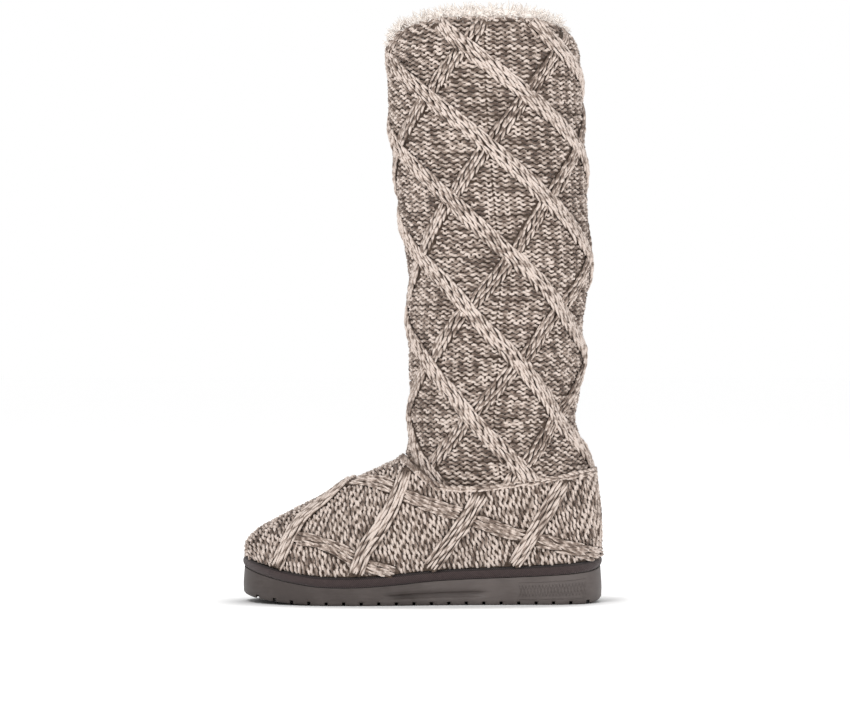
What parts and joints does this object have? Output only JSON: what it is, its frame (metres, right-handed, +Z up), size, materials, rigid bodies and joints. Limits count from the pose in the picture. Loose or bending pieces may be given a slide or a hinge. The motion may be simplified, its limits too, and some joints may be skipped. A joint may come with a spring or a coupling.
{
  "type": "winter boot",
  "caption": "Tall knitted winter boot for the left foot: marled yarn upper with a cable lattice, cream faux-fur collar, taped platform and dark rubber outsole.",
  "frame": {"origin": "centre of the bounding box on the floor, under the sole", "axes": "+Z up the shaft, -X towards the toe, -Y towards the outer side of the foot"},
  "size_m": [0.2706, 0.1024, 0.4479],
  "materials": {
    "knit": "matte",
    "outsole_rubber": "satin",
    "twill_tape": "matte",
    "fleece": "matte"
  },
  "bodies": {
    "root": {"outsole": "outsole_rubber", "platform": "twill_tape", "insole": "fleece", "upper": "knit", "fur_collar": "fleece"}
  },
  "joints": []
}
